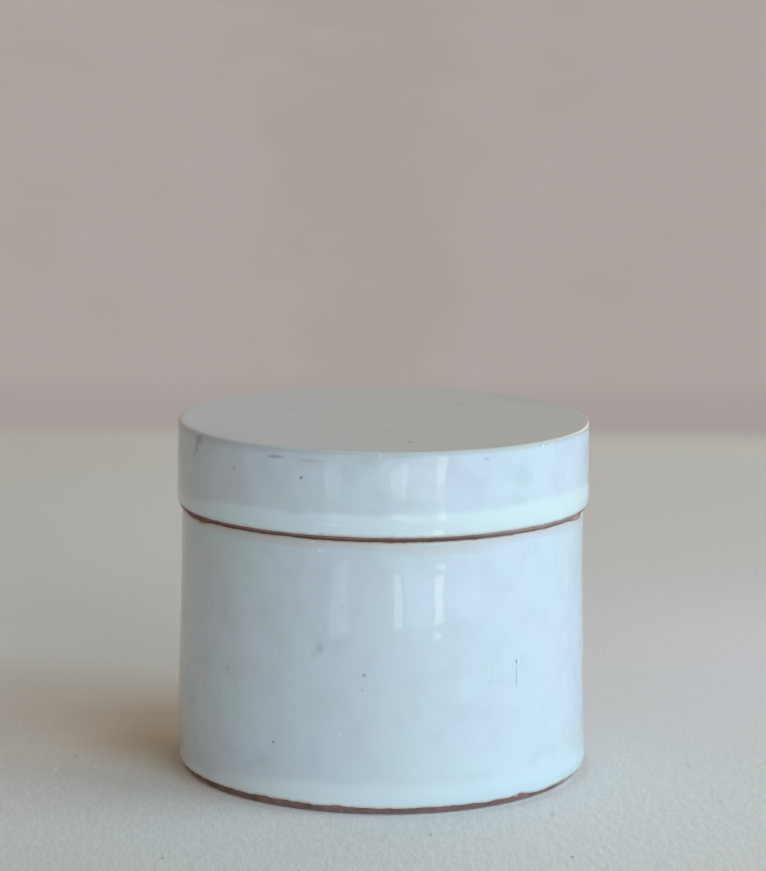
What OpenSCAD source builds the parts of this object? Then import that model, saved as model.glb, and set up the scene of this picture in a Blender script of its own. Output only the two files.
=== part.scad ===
// Wheel-thrown jar of red earthenware with a flat cap lid, both coated in pale blue-white glaze.
// The lid's skirt drops over a bare collar and rests on a bare ledge. Millimetres, +Z up,
// origin at the centre of the foot, on the table.

/* [Jar wall] */
// Clay diameter of the wall at the shoulder, just under the lid
shoulder_d = 89.1; // [60:0.1:140]
// How much further out the wall stands at the belly than at the shoulder, on the radius
belly_flare = 0.85; // [0:0.05:4]
// Height of the belly, below which the wall is upright
belly_z = 8; // [5:0.5:20]
// Height of the ledge that carries the lid
ledge_z = 60.1; // [45:0.1:110]
// Thickness of the thrown wall
wall_t = 4.6; // [3.5:0.1:7]
// Thickness of the floor above the foot recess
floor_t = 4.4; // [3:0.1:8]
// Radius of the inside corner between floor and wall
floor_corner_r = 9; // [4:0.5:14]

/* [Foot] */
// Depth of the recess turned under the base
foot_recess = 1.2; // [0.5:0.1:2.5]
// Width of the ring that the jar stands on
foot_ring_w = 7.5; // [4:0.5:14]
// Radius of the outer edge of the foot
foot_edge_r = 2; // [0.8:0.1:3]
// Radius of the soft inner edge of the standing ring
foot_inner_r = 0.6; // [0.3:0.1:1]

/* [Ledge and collar] */
// Width of the ledge, from the edge of the shoulder in to the collar
seat_w = 4.2; // [3.6:0.1:7]
// Radius of the outer edge of the shoulder
shoulder_edge_r = 0.8; // [0.4:0.1:1.1]
// Height of the collar above the ledge
collar_h = 8.5; // [5:0.1:11]
// Thickness of the collar
collar_t = 3.2; // [2.4:0.1:5]
// Radius of the corner where the collar stands on the ledge
collar_root_r = 0.5; // [0.2:0.1:0.6]
// Height over which the inside narrows from the wall to the collar
throat_h = 9; // [5:0.5:14]

/* [Lid] */
// How far the lid's clay stands out past the shoulder
lid_overhang = 1.05; // [0.2:0.05:3]
// Clay height of the lid, rim to top
lid_h = 18.5; // [17.5:0.1:30]
// Thickness of the lid's flat top
crown_t = 4.4; // [3:0.1:5.5]
// Running gap between the collar and the skirt, on the radius
fit_gap = 0.7; // [0.6:0.05:1.1]
// Radius of the lid's top edge
lid_edge_r = 0.9; // [0.5:0.1:3]
// Radius of the outer edge of the lid's rim
rim_edge_r = 0.7; // [0.4:0.1:1.2]
// Radius of the inner edge of the lid's rim
rim_inner_r = 0.6; // [0.3:0.1:0.9]
// Radius of the corner inside the lid, between skirt and crown
lid_corner_r = 3; // [1.5:0.1:3.5]
// Swelling of the lid's side just above the rim
bead_h = 0.16; // [0:0.02:0.6]
// Height of that swelling
bead_w = 6.5; // [4:0.5:9]

/* [Throwing rings] */
// Depth of the finger rings left inside the jar and the lid
ring_depth = 0.3; // [0:0.05:0.6]
// Spacing of the finger rings
ring_pitch = 6; // [4:0.5:10]

/* [Glaze] */
// Thickness of the glaze coats
glaze_t = 0.4; // [0.2:0.05:0.6]
// Width over which a coat rounds off at its wiped edge
glaze_edge_w = 0.8; // [0.6:0.1:2]
// Height of the bare clay band above the table
foot_bare_h = 1.8; // [0.8:0.1:5]
// Height of bare clay below the ledge
shoulder_bare_h = 0.55; // [0.3:0.05:2]
// Height of bare clay above the lid's rim
lid_bare_h = 0.6; // [0.3:0.05:3]
// Bare clay below the top of the collar, on its inside
collar_bare_h = 2.6; // [1.8:0.1:5]
// How far above the collar the glaze inside the lid stops
skirt_bare_gap = 0.8; // [0.4:0.1:1.2]

/* [Hidden] */
$fn = 180;

clay_colour = "#8c4f3c";
glaze_colour = "#cddfe6";
liner_colour = "#d8e3e4";

arc_steps = 8;     // straight pieces in a quarter circle
wall_steps = 20;   // straight pieces up the outer wall
throat_steps = 12; // straight pieces down the throat
ring_steps = 8;    // straight pieces across one finger ring
edge_steps = 6;    // straight pieces in a wiped glaze edge
tiny = 0.001;      // two heights closer than this count as one

// Radii and heights of the jar
shoulder_r = shoulder_d / 2;
belly_r = shoulder_r + belly_flare;
foot_r = belly_r - foot_edge_r;
ring_inside_r = foot_r - foot_ring_w;
floor_z = foot_recess + floor_t;
corner_z = floor_z + floor_corner_r;
collar_r = shoulder_r - seat_w;
bore_r = collar_r - collar_t;
collar_top_z = ledge_z + collar_h;
throat_z = ledge_z - shoulder_edge_r;
throat_low_z = throat_z - throat_h;

// Radii and heights of the lid
lid_r = shoulder_r + lid_overhang;
lid_top_z = ledge_z + lid_h;
ceiling_z = lid_top_z - crown_t;
skirt_r = collar_r + fit_gap;
side_low_z = ledge_z + rim_edge_r;
side_top_z = lid_top_z - lid_edge_r;

// An S-shaped step from 0 to 1, level at both ends
function ease(u) = let (v = min(max(u, 0), 1)) v * v * (3 - 2 * v);

// A ripple from 0 up to 1 and back for each whole number of u
function ripple(u) = (1 - cos(360 * u)) / 2;

// A whole number of finger rings that fits the length, at about the stated spacing
function ring_count(length) = max(1, round(length / ring_pitch));

function reverse(path) = [for (i = [len(path) - 1 : -1 : 0]) path[i]];

function arc(centre, r, from, to) =
    [for (i = [0 : arc_steps])
        let (a = from + (to - from) * i / arc_steps)
        centre + r * [cos(a), sin(a)]];

// Distance along a path to each of its points
function distances(path) =
    [for (i = 0, s = 0; i < len(path); i = i + 1, s = i < len(path) ? s + norm(path[i] - path[i - 1]) : s) s];

// The stretch of a rising path between two heights
function between(path, low, high) =
    let (radius_at = [for (p = path) [p[1], p[0]]])
    concat([[lookup(low, radius_at), low]],
           [for (p = path) if (p[1] > low + tiny && p[1] < high - tiny) p],
           [[lookup(high, radius_at), high]]);

// Outer radius of the jar's wall at a height
function wall_r(z) = shoulder_r + belly_flare * ease((ledge_z - z) / (ledge_z - belly_z));

// Inner radius of the jar's wall at a height, with its finger rings
function well_r(z) =
    let (run = throat_low_z - corner_z, u = (z - corner_z) / run)
    wall_r(z) - wall_t - ring_depth * ripple(ring_count(run) * min(max(u, 0), 1));

// Outer radius of the lid's side at a height, with the swelling above its rim
function side_r(z) = lid_r + bead_h * ripple(min((z - ledge_z) / bead_w, 1));

// A level surface with finger rings, from radius r_out to the axis, raised by depth
function ringed_disc(r_out, z, depth) =
    let (count = ring_count(r_out), steps = count * ring_steps)
    [for (i = [1 : steps]) [r_out * (1 - i / steps), z + depth * ripple(count * i / steps)]];

// Jar: each stretch of its outline runs on from the one before, with the air on its right

underside = concat([[0, foot_recess]],
                   [[ring_inside_r - foot_recess, foot_recess]],
                   arc([ring_inside_r + foot_inner_r, foot_inner_r], foot_inner_r, 225, 270));

outer_wall = concat(
    arc([wall_r(foot_edge_r) - foot_edge_r, foot_edge_r], foot_edge_r, -90, 0),
    [for (i = [1 : wall_steps - 1])
        let (z = foot_edge_r + (throat_z - foot_edge_r) * i / wall_steps)
        [wall_r(z), z]],
    arc([wall_r(throat_z) - shoulder_edge_r, throat_z], shoulder_edge_r, 0, 90));

collar_outside = concat(arc([collar_r + collar_root_r, ledge_z + collar_root_r], collar_root_r, 270, 180),
                        arc([collar_r - collar_t / 2, collar_top_z - collar_t / 2], collar_t / 2, 0, 90));

collar_inside = concat([for (p = arc([bore_r + collar_t / 2, collar_top_z - collar_t / 2],
                                     collar_t / 2, 90, 180)) if (p[1] < collar_top_z - tiny) p],
                       [[bore_r, throat_z]]);

throat = [for (i = [1 : throat_steps])
    let (z = throat_z - throat_h * i / throat_steps)
    [bore_r + (well_r(z) - bore_r) * ease(i / throat_steps), z]];

well_wall = let (run = throat_low_z - corner_z, steps = ring_count(run) * ring_steps)
    [for (i = [1 : steps - 1]) let (z = throat_low_z - run * i / steps) [well_r(z), z]];

floor_corner = arc([well_r(corner_z) - floor_corner_r, corner_z], floor_corner_r, 0, -90);

well_floor = ringed_disc(well_r(corner_z) - floor_corner_r, floor_z, ring_depth);

// Lid: the outline runs from the axis under the crown, down the skirt, round the rim and over the top

ceiling = reverse(ringed_disc(skirt_r - lid_corner_r, ceiling_z, -ring_depth));

skirt_inside = concat(arc([skirt_r - lid_corner_r, ceiling_z - lid_corner_r], lid_corner_r, 90, 0),
                      arc([skirt_r + rim_inner_r, ledge_z + rim_inner_r], rim_inner_r, 180, 270));

lid_side = concat(
    arc([side_r(side_low_z) - rim_edge_r, side_low_z], rim_edge_r, -90, 0),
    [for (i = [1 : wall_steps - 1])
        let (z = side_low_z + (side_top_z - side_low_z) * i / wall_steps)
        [side_r(z), z]],
    [[side_r(side_top_z), side_top_z]]);

lid_top = concat([for (p = arc([lid_r - lid_edge_r, side_top_z], lid_edge_r, 0, 90))
                     if (p[1] > side_top_z + tiny) p],
                 [[0, lid_top_z]]);

// Coats of glaze

// A path with more points within glaze_edge_w of each end that is wiped
function refine(path, wiped) =
    let (s = distances(path), total = s[len(s) - 1], step = glaze_edge_w / edge_steps)
    concat([for (i = [0 : len(path) - 2])
               let (near = (wiped[0] && s[i] < glaze_edge_w) || (wiped[1] && total - s[i + 1] < glaze_edge_w),
                    pieces = near ? ceil((s[i + 1] - s[i]) / step) : 1)
               for (k = [0 : pieces - 1]) path[i] + (path[i + 1] - path[i]) * k / pieces],
           [path[len(path) - 1]]);

// Share of the full thickness at a distance from a wiped edge, a quarter circle in section
function edge_share(s) = sqrt(1 - pow(1 - min(s / glaze_edge_w, 1), 2));

// Direction away from the clay at each point of a path; at the axis it is straight up or down
function outward(path, i) =
    let (a = path[max(i - 1, 0)], b = path[min(i + 1, len(path) - 1)], d = b - a,
         n = [d[1], -d[0]] / norm(d))
    path[i][0] < tiny ? [0, sign(n[1])] : n;

// Section of a coat that lies on a stretch of outline. wiped says which of its ends are wiped.
function coat(path, wiped) =
    let (line = refine(path, wiped), s = distances(line), last = len(line) - 1,
         skin = [for (i = [0 : last])
             line[i] + outward(line, i) * glaze_t
                 * (wiped[0] ? edge_share(s[i]) : 1)
                 * (wiped[1] ? edge_share(s[last] - s[i]) : 1)],
         back = [for (i = [len(path) - 1 : -1 : 0])
             if (!(wiped[0] && i == 0) && !(wiped[1] && i == len(path) - 1)) path[i]])
    concat(skin, back);

module turned(section, paint) {
    color(paint) rotate_extrude() polygon(section);
}

module jar_body() {
    turned(concat(underside, outer_wall, collar_outside, collar_inside,
                  throat, well_wall, floor_corner, well_floor), clay_colour);
}

module jar_outer_glaze() {
    turned(coat(between(outer_wall, foot_bare_h, ledge_z - shoulder_bare_h), [true, true]), glaze_colour);
}

module jar_inner_glaze() {
    collar_part = reverse(between(reverse(collar_inside), throat_z, collar_top_z - collar_bare_h));
    turned(coat(concat(collar_part, throat, well_wall, floor_corner, well_floor), [true, false]),
           liner_colour);
}

module lid_body() {
    turned(concat(ceiling, skirt_inside, lid_side, lid_top), clay_colour);
}

module lid_outer_glaze() {
    side = between(lid_side, ledge_z + lid_bare_h, side_top_z);
    turned(coat(concat(side, lid_top), [true, false]), glaze_colour);
}

module lid_inner_glaze() {
    low = collar_top_z + skirt_bare_gap;
    skirt_part = reverse(between(reverse(skirt_inside), low, ceiling_z));
    turned(coat(concat(ceiling, skirt_part), [false, true]), liner_colour);
}

jar_body();
jar_outer_glaze();
jar_inner_glaze();
lid_body();
lid_outer_glaze();
lid_inner_glaze();
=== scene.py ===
# Looks of the lidded jar: red clay thrown on a wheel, under a glossy, pale blue-white glaze.
from math import ceil, cos, degrees, exp, hypot, pi, radians, sin

import bmesh
import bpy
from mathutils import Matrix, Vector, noise
from mathutils.geometry import intersect_point_line


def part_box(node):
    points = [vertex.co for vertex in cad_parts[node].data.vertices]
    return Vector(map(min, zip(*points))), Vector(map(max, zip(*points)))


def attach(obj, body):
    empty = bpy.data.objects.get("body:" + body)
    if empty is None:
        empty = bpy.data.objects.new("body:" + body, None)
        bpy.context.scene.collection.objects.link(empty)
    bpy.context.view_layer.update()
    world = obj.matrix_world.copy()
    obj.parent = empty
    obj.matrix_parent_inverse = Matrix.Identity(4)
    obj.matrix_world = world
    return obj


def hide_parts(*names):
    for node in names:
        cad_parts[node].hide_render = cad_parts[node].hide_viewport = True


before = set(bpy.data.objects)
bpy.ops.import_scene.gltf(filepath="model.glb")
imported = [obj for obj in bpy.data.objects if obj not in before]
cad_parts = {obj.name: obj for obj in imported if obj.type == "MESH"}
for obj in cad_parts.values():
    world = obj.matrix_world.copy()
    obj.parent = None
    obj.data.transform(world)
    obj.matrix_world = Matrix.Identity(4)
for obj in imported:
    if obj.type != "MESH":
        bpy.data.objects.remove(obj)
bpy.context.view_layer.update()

MM = 0.001               # one millimetre, in the scene's metres

# Heights and radii of the jar, from the frame
JAR_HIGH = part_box("jar_body")[1]
LID_LOW, LID_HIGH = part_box("lid_body")
COAT_LOW, COAT_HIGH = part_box("jar_outer_glaze")
LID_COAT_LOW, LID_COAT_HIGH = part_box("lid_outer_glaze")
JAR_LINER_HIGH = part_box("jar_inner_glaze")[1]
LID_LINER_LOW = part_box("lid_inner_glaze")[0]
SEAM = LID_LOW.z                    # where the lid's rim rests on the ledge
WIDEST = LID_COAT_HIGH.x
COAT_THICK = LID_COAT_HIGH.z - LID_HIGH.z
TOP_BAND = 2 * MM                   # the uppermost part of the lid's wall, clear of its bead
LID_WALL = max(hypot(v.co.x, v.co.y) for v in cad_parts["lid_outer_glaze"].data.vertices
               if v.co.z > LID_COAT_HIGH.z - TOP_BAND)

# Fineness of the meshes
MERGE = 0.001 * MM                  # points closer than this are one
OUTSIDE_STEPS = 512                 # faces once round, on what shows outside
INSIDE_STEPS = 256                  # on the clay and the liners
DOUBLINGS = 4                       # steps are a multiple of 2 to this power
FINEST = 0.2 * MM                   # at the lid's sharp corners
FINE = 0.5 * MM
INSIDE_FINE = 0.65 * MM             # on the liners
LEVEL = 2 * MM                      # on the lid's flat top
COARSE = 4 * MM


# Turned forms

def outline(node):
    """The node's cut edge on the plane y = 0, from the axis outwards: points and edges only."""
    mesh = bmesh.new()
    mesh.from_mesh(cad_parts[node].data)
    bmesh.ops.remove_doubles(mesh, verts=mesh.verts, dist=MERGE)
    for normal, both in (((1, 0, 0), False), ((0, 1, 0), True)):
        bmesh.ops.bisect_plane(
            mesh, geom=mesh.verts[:] + mesh.edges[:] + mesh.faces[:], dist=MERGE,
            plane_co=(0, 0, 0), plane_no=normal, clear_inner=True, clear_outer=both)
    return mesh


def refine(mesh, spacing, edges=None):
    """Splits an outline's edges, or only those given, to the length that spacing says for each."""
    for edge in edges or mesh.edges[:]:
        middle = (edge.verts[0].co + edge.verts[1].co) / 2
        cuts = ceil(edge.calc_length() / spacing(middle)) - 1
        if cuts > 0:
            bmesh.ops.subdivide_edges(mesh, edges=[edge], cuts=cuts)


def distance_to(point, edges):
    """How far a point lies from the nearest of some edges, given as pairs of points."""
    best = WIDEST
    for a, b in edges:
        foot, share = intersect_point_line(point, a, b)
        nearest = a if share < 0 else b if share > 1 else foot
        best = min(best, (point - nearest).length)
    return best


def measure_coat(mesh, clay_node):
    """Keeps each point's distance from the clay in the layer named coat, in metres."""
    clay = outline(clay_node)
    edges = [(e.verts[0].co.copy(), e.verts[1].co.copy()) for e in clay.edges]
    clay.free()
    layer = mesh.verts.layers.float.new("coat")
    for point in mesh.verts:
        point[layer] = distance_to(point.co, edges)
    return layer


def measure_edge(mesh, tips):
    """Keeps each point's distance from the nearest of some tips in the layer named edge, in metres."""
    kept = mesh.verts.layers.float.new("edge")
    for point in mesh.verts:
        point[kept] = min((point.co - tip).length for tip in tips)


def turn(mesh, steps):
    """Turns an outline a full circle about the jar's axis, and closes its poles.

    One slice is spun and then doubled until it closes, which is much quicker than one long spin.
    """
    slice_angle = 2 * pi / 2 ** DOUBLINGS
    bmesh.ops.spin(mesh, geom=mesh.verts[:] + mesh.edges[:], cent=(0, 0, 0), axis=(0, 0, 1),
                   dvec=(0, 0, 0), angle=slice_angle, steps=steps // 2 ** DOUBLINGS,
                   use_merge=False, use_duplicate=False)
    for doubling in range(DOUBLINGS):
        copy = bmesh.ops.duplicate(mesh, geom=mesh.verts[:] + mesh.edges[:] + mesh.faces[:])
        copied = [part for part in copy["geom"] if isinstance(part, bmesh.types.BMVert)]
        bmesh.ops.rotate(mesh, verts=copied, cent=(0, 0, 0),
                         matrix=Matrix.Rotation(slice_angle * 2 ** doubling, 3, "Z"))
        bmesh.ops.remove_doubles(mesh, verts=mesh.verts, dist=MERGE)
    bmesh.ops.recalc_face_normals(mesh, faces=mesh.faces)


def ease(u):
    """A smooth step from 0 to 1."""
    v = min(max(u, 0), 1)
    return v * v * (3 - 2 * v)


def azimuth(co):
    """Angle round the jar, in degrees: 0 towards the photograph's camera, positive to its right."""
    return degrees(Vector((-co.y, co.x)).angle_signed(Vector((1, 0)), 0))


# The thrower's hand

JAR_SEED = 3.7
LID_SEED = 8.2
SEEDS = {"jar": JAR_SEED, "lid": LID_SEED}
OUT_OF_ROUND = 0.09 * MM
SWELL = 0.12 * MM
SWELLS_ROUND = 1.2                  # how often the swelling changes on the way round
SWELL_LENGTH = 26 * MM
THROWING_LINE = 0.005 * MM
THROWING_PITCH = 3.4 * MM
FOOT_SHIFT = 0.30 * MM              # the foot sits a little to the right of the rim
FOOT_SHIFT_HEIGHT = 16 * MM
TOP_DISH = 0.10 * MM
TOP_WAVE_LENGTH = 22 * MM
TOP_BLEND = 5 * MM
LID_SHOULDER_ROUND = 1.9 * MM
SOFT_POWER = 3.4                    # 2 is round, and more is crisper
CRISP_POWER = 8
CRISPEST = 80                       # azimuth of the shoulder's crispest part
CRISP_SPREAD = 0.6
LID_RIM_ROUND = 0.7 * MM
RIM_POWER = 8


def thrown(co, seed):
    """Where the thrower's hands left a point of the true form. A seat's height isn't touched."""
    round_about = Vector((co.x, co.y, 0)).normalized()
    swell = noise.noise(round_about * SWELLS_ROUND + Vector((seed, 0, co.z / SWELL_LENGTH)))
    turn_angle = radians(azimuth(co))
    spiral = sin(2 * pi * co.z / THROWING_PITCH + turn_angle)
    push = SWELL * swell + THROWING_LINE * spiral + OUT_OF_ROUND * cos(2 * turn_angle + seed)
    share = 1 + push / WIDEST
    shift = 0
    lift = 0
    if seed == JAR_SEED:
        shift = FOOT_SHIFT * (1 - ease(co.z / FOOT_SHIFT_HEIGHT))
    if co.z > SEAM and seed == LID_SEED:
        wave = noise.noise(Vector((co.x, co.y, seed * TOP_WAVE_LENGTH)) / TOP_WAVE_LENGTH)
        lift = TOP_DISH * wave * ease((co.z - LID_HIGH.z + TOP_BLEND) / TOP_BLEND)
    return Vector((co.x * share + shift, co.y * share, co.z + lift))


def sharpen_shoulder(mesh, layer):
    """Rounds the lid's shoulder by azimuth: crisp at the right, worn soft at the left."""
    corner = LID_SHOULDER_ROUND
    for point in mesh.verts:
        radius = hypot(point.co.x, point.co.y)
        across = (radius - LID_WALL + corner) / corner
        up = (point.co.z - LID_COAT_HIGH.z + corner) / corner
        if across <= 0 or up <= 0 or point[layer] < THIN:
            continue
        crisp = ease(0.5 + CRISP_SPREAD * cos(radians(azimuth(point.co) - CRISPEST)))
        power = SOFT_POWER + (CRISP_POWER - SOFT_POWER) * crisp
        grow = 1 / (across ** power + up ** power) ** (1 / power)
        share = (LID_WALL - corner + corner * across * grow) / radius
        new_height = LID_COAT_HIGH.z - corner + corner * up * grow
        point.co = (point.co.x * share, point.co.y * share, new_height)


def sharpen_rim(mesh):
    """Makes the lid's lower outer corner crisp, both the clay and the edge of the glaze on it."""
    middle = LID_WALL - COAT_THICK - LID_RIM_ROUND
    level = SEAM + LID_RIM_ROUND
    for point in mesh.verts:
        radius = hypot(point.co.x, point.co.y)
        across, down = radius - middle, level - point.co.z
        if across <= 0 or down <= 0:
            continue
        reach = hypot(across, down)
        grow = ((across / reach) ** RIM_POWER + (down / reach) ** RIM_POWER) ** (-1 / RIM_POWER)
        share = (middle + across * grow) / radius
        point.co = (point.co.x * share, point.co.y * share, level - down * grow)


# Wiped edges of the glaze

WIPE_REACH = 6 * MM      # how far into a coat its edge's wander is felt
# Extra thickness where the glaze has gathered above a lower edge, and how much more at the right
JAR_POOL_SWELL = (0.10 * MM, 0.26 * MM)
LID_POOL_SWELL = (0.035 * MM, 0.10 * MM)
POOL_MIDDLE = 2.2 * MM
POOL_SPREAD = 2.0 * MM
POOL_STRAY = 0.5 * MM
RIPPLE = 0.10 * MM       # unevenness of the glaze's skin
RIPPLE_LENGTH = 6 * MM
TUCK = 0.04 * MM         # how far a coat's thin edge sinks into the clay
THIN = 0.12 * MM         # where a coat is thinner than this, it counts as its edge
SKIN_START = 0.05 * MM
WANDER = [(0.6, 2.5), (0.45, 9), (0.45, 34)]    # sizes, and how often each changes on the way round
HIGH_SEED = 5            # added to a seed for an upper edge, and for the pool's edge
POOL_SEED = 9

# Places where the glaze stops short, as azimuth and half width in degrees, and depth.
# A depth below 0 is a place where it runs on.
FOOT_GAPS = [(42, 2.6, 0.5 * MM), (58, 26, -0.27 * MM), (-12, 2.5, 0.2 * MM), (118, 4, 0.6 * MM),
             (-150, 5, 0.5 * MM)]
SHOULDER_GAPS = [(-60.5, 4, 0.6 * MM), (-69, 5, 0.5 * MM), (73, 6.5, 0.85 * MM), (162, 4, 0.7 * MM),
                 (-118, 4, 0.6 * MM), (-38, 16, -0.18 * MM), (2, 8, 0.12 * MM)]
LID_RIM_GAPS = [(14, 26, -0.17 * MM), (62, 14, 0.05 * MM), (-60, 40, -0.12 * MM), (-150, 30, 0.2 * MM),
                (140, 9, 0.25 * MM)]
# How far each wiped edge wanders elsewhere
FOOT_WANDER = 0.4 * MM
SHOULDER_WANDER = 0.3 * MM
LID_RIM_WANDER = 0.12 * MM
JAR_LINER_WANDER = 0.7 * MM
LID_LINER_WANDER = 0.5 * MM
# How the upper edge of the pooled glaze rises and falls, in the same way as the gaps
JAR_POOL = 6.2 * MM
JAR_POOL_WAVES = [(-63, 22, -2.6 * MM), (0, 30, 0.7 * MM), (140, 40, 1.5 * MM), (-140, 30, 1 * MM)]
LID_POOL = 65.5 * MM
LID_POOL_WAVES = [(-64, 14, -1.9 * MM), (-34, 6, 0.4 * MM), (-24, 5, -0.6 * MM), (56, 22, 1.1 * MM),
                  (130, 24, -1.3 * MM), (-150, 30, 0.9 * MM)]


def wander(angle, seed):
    """How a wiped edge strays at an angle in degrees, from about -1 to 1."""
    a = radians(angle)
    ring = Vector((cos(a), sin(a), seed))
    return sum(size * noise.noise(ring * changes) for size, changes in WANDER)


def gap_at(angle, gaps):
    """What rows of azimuth, half width and depth add up to at an angle in degrees."""
    depth = 0
    for middle, half_width, deepest in gaps:
        off = (angle - middle + 180) % 360 - 180
        depth += deepest * exp(-(off / half_width) ** 2)
    return depth


def wipe(mesh, layer, low=None, high=None, seed=0):
    """Lets the edges of a coat wander.

    low is (height, reach, gaps, extra thickness of the pool), and high is (height, reach, gaps).
    """
    for point in mesh.verts:
        angle = azimuth(point.co)
        coat = point[layer]
        shift = 0
        ripple = noise.noise(point.co / RIPPLE_LENGTH + Vector((seed, 0, 0)))
        swell = RIPPLE * ripple * coat / COAT_THICK
        if low:
            height, reach, gaps, pool_swell = low
            near = 1 - ease((point.co.z - height) / WIPE_REACH)
            shift += near * (reach * wander(angle, seed) + gap_at(angle, gaps))
            off = (point.co.z - height - POOL_MIDDLE) / POOL_SPREAD
            thickness = pool_swell[0] + pool_swell[1] * sin(radians(angle))
            swell += thickness * exp(-off * off) * coat / COAT_THICK
        if high:
            height, reach, gaps = high
            near = 1 - ease((height - point.co.z) / WIPE_REACH)
            shift -= near * (reach * wander(angle, seed + HIGH_SEED) + gap_at(angle, gaps))
        if coat < THIN:
            swell -= TUCK
        out = Vector((point.co.x, point.co.y, 0)).normalized()
        point.co += out * swell + Vector((0, 0, shift))


def measure_pool(mesh, level, waves, seed):
    """Keeps each point's height over the pooled glaze's upper edge in the layer named pool."""
    layer = mesh.verts.layers.float.new("pool")
    for point in mesh.verts:
        angle = azimuth(point.co)
        stray = POOL_STRAY * wander(angle, seed + POOL_SEED)
        point[layer] = point.co.z - level - gap_at(angle, waves) - stray


def make_piece(name, node, body, mesh, material):
    """Turns a finished mesh into the piece that stands for a node."""
    for point in mesh.verts:
        point.co = thrown(point.co, SEEDS[body])
    data = bpy.data.meshes.new(name)
    mesh.to_mesh(data)
    mesh.free()
    data.shade_smooth()
    data.materials.append(material)
    made = bpy.data.objects.new(name, data)
    bpy.context.scene.collection.objects.link(made)
    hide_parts(node)
    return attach(made, body)


# Shader nodes

MIX_SOCKETS = (0, 6, 7)             # the Mix node's own numbers for its factor and two colours
MIX_RESULT = 2


def feed(tree, socket, value):
    """Links a socket to an input, or sets the input's value."""
    if isinstance(value, bpy.types.NodeSocket):
        tree.links.new(value, socket)
    else:
        socket.default_value = value


def add(tree, kind, settings=None, **inputs):
    """A new node. settings are its properties, and the rest feeds the inputs of those names."""
    node = tree.nodes.new(kind)
    for name, value in (settings or {}).items():
        setattr(node, name, value)
    for name, value in inputs.items():
        feed(tree, node.inputs[name.replace("_", " ")], value)
    return node


def work_out(tree, operation, *values):
    """A Math node's result."""
    node = add(tree, "ShaderNodeMath", {"operation": operation})
    for socket, value in zip(node.inputs, values):
        feed(tree, socket, value)
    return node.outputs[0]


def work_out_vector(tree, operation, *values):
    """A Vector Math node's result, a number for LENGTH and DISTANCE."""
    node = add(tree, "ShaderNodeVectorMath", {"operation": operation})
    for socket, value in zip(node.inputs, values):
        feed(tree, socket, value)
    return node.outputs["Value" if operation in ("LENGTH", "DISTANCE") else "Vector"]


def between(tree, value, start, end):
    """A smooth step from 0 where value is start to 1 where it is end."""
    node = add(tree, "ShaderNodeMapRange", {"interpolation_type": "SMOOTHSTEP"},
               Value=value, From_Min=start, From_Max=end)
    return node.outputs["Result"]


def mix(tree, share, first, second):
    """Two colours mixed, or a colour and a socket."""
    node = add(tree, "ShaderNodeMix", {"data_type": "RGBA"})
    for socket, value in zip(MIX_SOCKETS, (share, first, second)):
        feed(tree, node.inputs[socket], value)
    return node.outputs[MIX_RESULT]


def cloud(tree, place, length, detail=2, roughness=0.5):
    """Noise with features of about the given length, from 0 to 1."""
    return add(tree, "ShaderNodeTexNoise", Vector=place, Scale=1 / length, Detail=detail,
               Roughness=roughness).outputs[0]


def new_group(name, inputs, outputs):
    """An empty shader node group. inputs and outputs are (name, kind, default) rows."""
    group = bpy.data.node_groups.new(name, "ShaderNodeTree")
    for rows, direction in ((inputs, "INPUT"), (outputs, "OUTPUT")):
        for label, kind, default in rows:
            socket = group.interface.new_socket(label, in_out=direction,
                                                socket_type="NodeSocket" + kind)
            if default is not None:
                socket.default_value = default
    start = group.nodes.new("NodeGroupInput")
    end = group.nodes.new("NodeGroupOutput")
    return group, start.outputs, end.inputs


def place_group(tree, group, **inputs):
    """A group node's outputs."""
    return add(tree, "ShaderNodeGroup", {"node_tree": group}, **inputs).outputs


# Effects that more than one finish uses

CLAY_CLOUDS = 9 * MM
CLAY_GRAIN = 0.5 * MM
GRAIN_HEIGHT = 0.06 * MM
SPECK_CORE = 0.45                   # the share of a speck's radius that has its full strength


def build_mark_group():
    """One mark at a place on the jar: a speck, a smudge, a scratch, a worn patch, or a patch of
    painted light, painted shade or a painted highlight.
    """
    group, given, result = new_group(
        "mark",
        [("Position", "Vector", None), ("Turn", "Float", 0), ("Place", "Vector", None),
         ("Half Size", "Vector", (MM, MM, MM)), ("Lean", "Float", 0), ("Softness", "Float", 0.5)],
        [("Mask", "Float", 0)])
    faced = add(group, "ShaderNodeVectorRotate", {"rotation_type": "Z_AXIS", "invert": True},
                Vector=given["Position"], Angle=given["Turn"])
    local = work_out_vector(group, "SUBTRACT", faced.outputs[0], given["Place"])
    leaned = add(group, "ShaderNodeVectorRotate", {"rotation_type": "Y_AXIS"},
                 Vector=local, Angle=given["Lean"])
    scaled = work_out_vector(group, "DIVIDE", leaned.outputs[0], given["Half Size"])
    reach = work_out_vector(group, "LENGTH", scaled)
    inner = work_out(group, "SUBTRACT", 1, given["Softness"])
    feed(group, result["Mask"], between(group, reach, 1, inner))
    return group


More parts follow.
